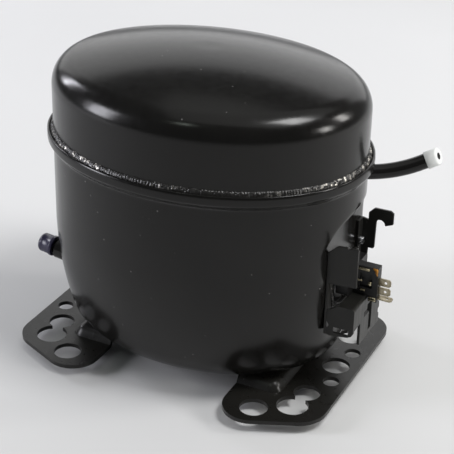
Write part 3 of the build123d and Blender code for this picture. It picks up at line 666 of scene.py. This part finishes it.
def saddle_height(x, y):
    """How far the plate is drawn up under the housing."""
    corner, ramp_width = 1.2, 4.5
    dx = abs(x) - (66.0 - corner)
    dy = abs(y) - (40.0 - corner)
    outside = hypot(max(dx, 0), max(dy, 0)) + min(max(dx, dy), 0) - corner
    s = min(max(outside / ramp_width, 0), 1)
    return 5.5 * (1 - s * s * (3 - 2 * s))


def build_foot_plate(side):
    """Pressed plate with its holes and the drawn-up saddle; side is 1 or -1."""
    low, high = node_box("foot_plate_right")
    slope = tan(radians(23.8))
    outer_y = 75.6 - (high[0] - 68.0) * slope
    inner_y = 75.6 + (68.0 - low[0]) * slope
    seat_a, seat_b = 70.2, 49.6
    path = rounded_path([(high[0], -outer_y, 18.5), (high[0], outer_y, 18.5), (low[0], inner_y, 16.8),
                         (low[0], 41.0, 0), (low[0], -41.0, 0), (low[0], -inner_y, 16.8)])
    split = [i for i, v in enumerate(path) if abs(v.x - low[0]) < 0.01 and abs(v.y) < 41.5]
    start = atan2(sqrt(1 - (low[0] / seat_a) ** 2), low[0] / seat_a)
    arc = []
    for k in range(41):
        a = start - 2 * start * k / 40
        arc.append(Vector((seat_a * cos(a), seat_b * sin(a))))
    path = path[:split[0]] + arc + path[split[1] + 1:]
    loops = [path]
    holes = plate_holes()
    for y_side in (-1, 1):
        pair = [h for h in holes if h[1] * y_side > 30 and h[0] > 80]
        pair.sort(key=lambda h: -h[2])
        loops.append(keyhole(*pair))
    for x, y, r in holes:
        if x > 80 and abs(y) > 30:
            continue
        turn = [2 * pi * k / 48 for k in range(48)]
        loops.append([Vector((x + r * cos(a), y + r * sin(a))) for a in turn])
    shape = bmesh.new()
    for loop in loops:
        ring = [shape.verts.new((v.x, v.y, 0)) for v in loop]
        for i, vert in enumerate(ring):
            shape.edges.new((vert, ring[(i + 1) % len(ring)]))
    bmesh.ops.triangle_fill(shape, use_beauty=True, use_dissolve=False, edges=shape.edges[:])
    for axis, cuts in (((1, 0, 0), range(44, 78, 1)), ((0, 1, 0), range(-52, 53, 1))):
        for cut in cuts:
            bmesh.ops.bisect_plane(shape, geom=shape.verts[:] + shape.edges[:] + shape.faces[:],
                                   plane_co=Vector(axis) * (cut + 0.13), plane_no=axis)
    bmesh.ops.recalc_face_normals(shape, faces=shape.faces)
    for face in shape.faces:
        if face.normal.z < 0:
            face.normal_flip()
    for vert in shape.verts:
        vert.co.z = saddle_height(vert.co.x, vert.co.y)
        vert.co.x *= side
        vert.co *= MM
    if side < 0:
        bmesh.ops.reverse_faces(shape, faces=shape.faces)
    mesh = bpy.data.meshes.new("foot_plate")
    shape.to_mesh(mesh)
    shape.free()
    mesh.polygons.foreach_set("use_smooth", [True] * len(mesh.polygons))
    plate = link("foot_plate_%s_visual" % ("right" if side > 0 else "left"), mesh)
    sheet = plate.modifiers.new("thickness", "SOLIDIFY")
    sheet.thickness = 2.5 * MM
    sheet.offset = 1.0
    bevel = plate.modifiers.new("round_edges", "BEVEL")
    bevel.width = 0.4 * MM
    bevel.segments = 2
    bevel.limit_method = "ANGLE"
    bevel.angle_limit = radians(50)
    bevel.harden_normals = True
    return plate


dress(build_lower_shell(), housing_paint, replaces=["lower_shell"])
dress(build_upper_shell(), housing_paint, replaces=["upper_shell"])
dress(build_seam_weld(), weld_look, replaces=["seam_weld"])
for side, name in ((1, "foot_plate_right"), (-1, "foot_plate_left")):
    dress(build_foot_plate(side), plate_paint, replaces=[name])


# =================================================================================================
# electrical end
# =================================================================================================
dress(refined("terminal_bracket", 0.30), sheet_paint, replaces=["terminal_bracket"])
dress(refined("cord_anchor", 0.30), sheet_paint, replaces=["cord_anchor"])
dress(refined("start_device", 0.35), device_black, replaces=["start_device"])
dress(refined("spade_terminals", 0.12), tin, replaces=["spade_terminals"])
dress(refined("earth_screw", 0.25), steel, replaces=["earth_screw"])


def build_weld_run(name, points, radius):
    """Lumpy hand-laid weld run along points on the bracket, tapering at both ends."""
    path = []
    steps = 14
    for a, b in zip(points, points[1:]):
        path += [Vector(a).lerp(Vector(b), k / steps) for k in range(steps)]
    path.append(Vector(points[-1]))
    last = len(path) - 1

    def radius_at(i):
        """Radius of the run at one of its points."""
        taper = min(1.0, 3.0 * i / last + 0.15, 3.0 * (last - i) / last + 0.15)
        return radius * taper * (1 + 0.45 * noise.noise(path[i] * 0.9) + 0.10 * sin(i * 1.7))

    return swept(name, path, radius_at, 20)


def build_contact(name, x0, x1, y, z, radius):
    """Short round contact bar lying along X on the start device's board, with rounded ends."""
    length = x1 - x0
    ends = [(0.0, 0.55), (0.12, 0.85), (0.35, 1.0)]
    profile = [(along, radius * share) for along, share in ends]
    profile += [(length - along, radius * share) for along, share in reversed(ends)]
    return turned(name, (x0, y, z), (1, 0, 0), profile, 24)


def build_board_corner(name):
    """Amber resin wedge at the top outer corner of the board."""
    corner_x, top_z, size, front, deep = 114.0, 80.0, 3.4, board_y - 0.35, board_y + 0.2
    outline = [(corner_x - size, top_z - 0.3), (corner_x - 0.5, top_z - 0.3), (corner_x - 0.2, top_z - 0.6),
               (corner_x - 0.2, top_z - size - 1.2), (corner_x - 0.8, top_z - size - 1.5),
               (corner_x - 1.6, top_z - size + 0.4)]
    verts = [(x, y, z) for y in (deep, front) for x, z in outline]
    return mesh_piece(name, verts, capped(2, len(outline)))


face_x = FLAT_X + BRACKET_SHEET     # outer face of the bracket's back plate
runs = {
    "bracket_weld_near": [(face_x, -21.8, 71.0), (face_x, -19.5, 60.0), (face_x, -16.5, 48.5)],
    "bracket_weld_far": [(face_x, 13.5, 71.5), (face_x, 18.5, 74.0), (face_x, 22.0, 79.0),
                         (face_x, 22.6, 84.0)],
}
for name, points in runs.items():
    dress(build_weld_run(name, points, 0.9), weld_look)

board_y, recess_y = -7.2, -5.4      # near face of the board and the floor of its recess
bars = [(101.6, 108.8, board_y - 0.5, 78.0, 0.75), (100.2, 104.7, board_y - 0.4, 70.3, 0.60),
        (108.0, 110.2, recess_y - 1.1, 68.7, 1.30), (103.6, 106.6, board_y - 0.4, 64.2, 0.60),
        (109.0, 113.4, board_y - 0.4, 60.3, 0.45), (109.0, 113.4, board_y - 0.4, 58.7, 0.45)]
for i, (x0, x1, y, z, radius) in enumerate(bars):
    dress(build_contact(f"board_contact_{i + 1}", x0, x1, y, z, radius), brass)
dress(build_board_corner("board_corner"), amber)


# =================================================================================================
# connectors
# =================================================================================================
dress(refined("suction_tube", 0.25), tube_paint, replaces=["suction_tube"])
def cap_place(name):
    """Middle of a cap and the way it pulls off."""
    low, high = node_box(name)
    joint = next(j for j in frame["joints"] if j["name"] == name + "_pull")
    return (Vector(low) + Vector(high)) / 2, Vector(joint["axis"]).normalized()


def build_suction_cap():
    """Push-on cap whose closed end sits askew and has a blind hole in it."""
    middle, way = cap_place("suction_cap")
    radius, length, bore, lap = 5.2, 8.0, 4.6, 5.0
    facing = Vector((0.91, -0.01, 0.415)).normalized()
    socket = [(lap, bore), (0.2, bore), (0.0, bore + 0.15), (0.0, radius - 0.2), (0.2, radius)]
    skin = [(lap, radius), (length - 0.8, radius), (length - 0.3, radius - 0.15),
            (length - 0.05, radius - 0.5), (length, radius - 1.0), (length, 2.2), (length - 0.1, 2.05)]
    hole = [(length - 0.3, 2.0), (length - 2.0, 1.9)]
    count = 56
    verts = []
    for along, ring_radius in socket + skin + hole:
        outer = (along, ring_radius) not in socket
        lean = min(max((along - 1.0) / (length - 2.0), 0), 1) if outer else 0.0
        across, up, _ = frame_along(way.lerp(facing, lean))
        centre = middle + way * (along - length / 2)
        for j in range(count):
            angle = 2 * pi * j / count
            verts.append(centre + (across * cos(angle) + up * sin(angle)) * ring_radius)
    rows = len(socket + skin + hole)
    cap = mesh_piece("suction_cap_visual", verts, capped(rows, count))
    return cap, (rows - len(hole) - 1) * count


def build_plug(name):
    """Moulded plug with a collar round its mouth and a domed end."""
    middle, way = cap_place(name)
    radius, length, bore, depth = 6.5, 11.5, 4.06, 5.0
    profile = [(depth, bore), (0.2, bore), (0.0, bore + 0.2), (0.0, radius - 0.4), (0.3, radius - 0.05),
               (0.7, radius), (2.0, radius), (2.4, radius - 0.15), (2.6, radius - 0.5)]
    dome = 3.4
    for i in range(13):
        a = radians(88 * i / 12)
        profile.append((length - dome + dome * sin(a), (radius - 0.5) * cos(a)))
    return turned(name + "_visual", middle - way * length / 2, way, profile, 64)


suction_cap, hole_start = build_suction_cap()
dress(suction_cap, cap_white, body="suction_cap", replaces=["suction_cap"])
# Painted shade: the blind hole's walls and floor take the black device material, a dark lining that stands in for
# the shade inside the white plastic cap's hole.
suction_cap.data.materials.append(device_black)
polygons = suction_cap.data.polygons
for polygon in polygons:
    deep = hole_start <= polygon.index < len(polygons) - 2
    polygon.material_index = 1 if deep or polygon.index == len(polygons) - 1 else 0
for name in ("process_cap", "discharge_cap"):
    dress(build_plug(name), plug_violet, body=name, replaces=[name])


# =================================================================================================
# carried-over CAD nodes
# =================================================================================================
LOOKS = {
    tube_paint: ["process_tube", "discharge_tube", "process_collar", "discharge_collar"],
    sheet_paint: ["terminal_cup"],
    steel: ["spring_studs", "stator_bolts", "spring_seats", "discharge_loop",
            "valve_plate", "head_bolts", "discharge_muffler", "rotor_counterweight", "oil_pickup",
            "wrist_pin"],
    bright_steel: ["suspension_springs", "thrust_washer", "valve_stop", "suction_reed",
                   "discharge_reed", "piston"],
    glass_bead: ["terminal_glass"],
    tin: ["terminal_pins"],
    device_black: ["cluster_plug"],
    lamination: ["stator_core", "rotor_core"],
    winding: ["main_winding", "start_winding"],
    sleeve: ["motor_leads"],
    cast_iron: ["crankcase", "crankshaft"],
    aluminium: ["cylinder_head", "rotor_cage", "connecting_rod"],
    fibre: ["head_gasket"],
    muffler_look: ["suction_muffler"],
}
for material, names in LOOKS.items():
    for name in names:
        for slot in frame["nodes"][name].material_slots:
            slot.material = material
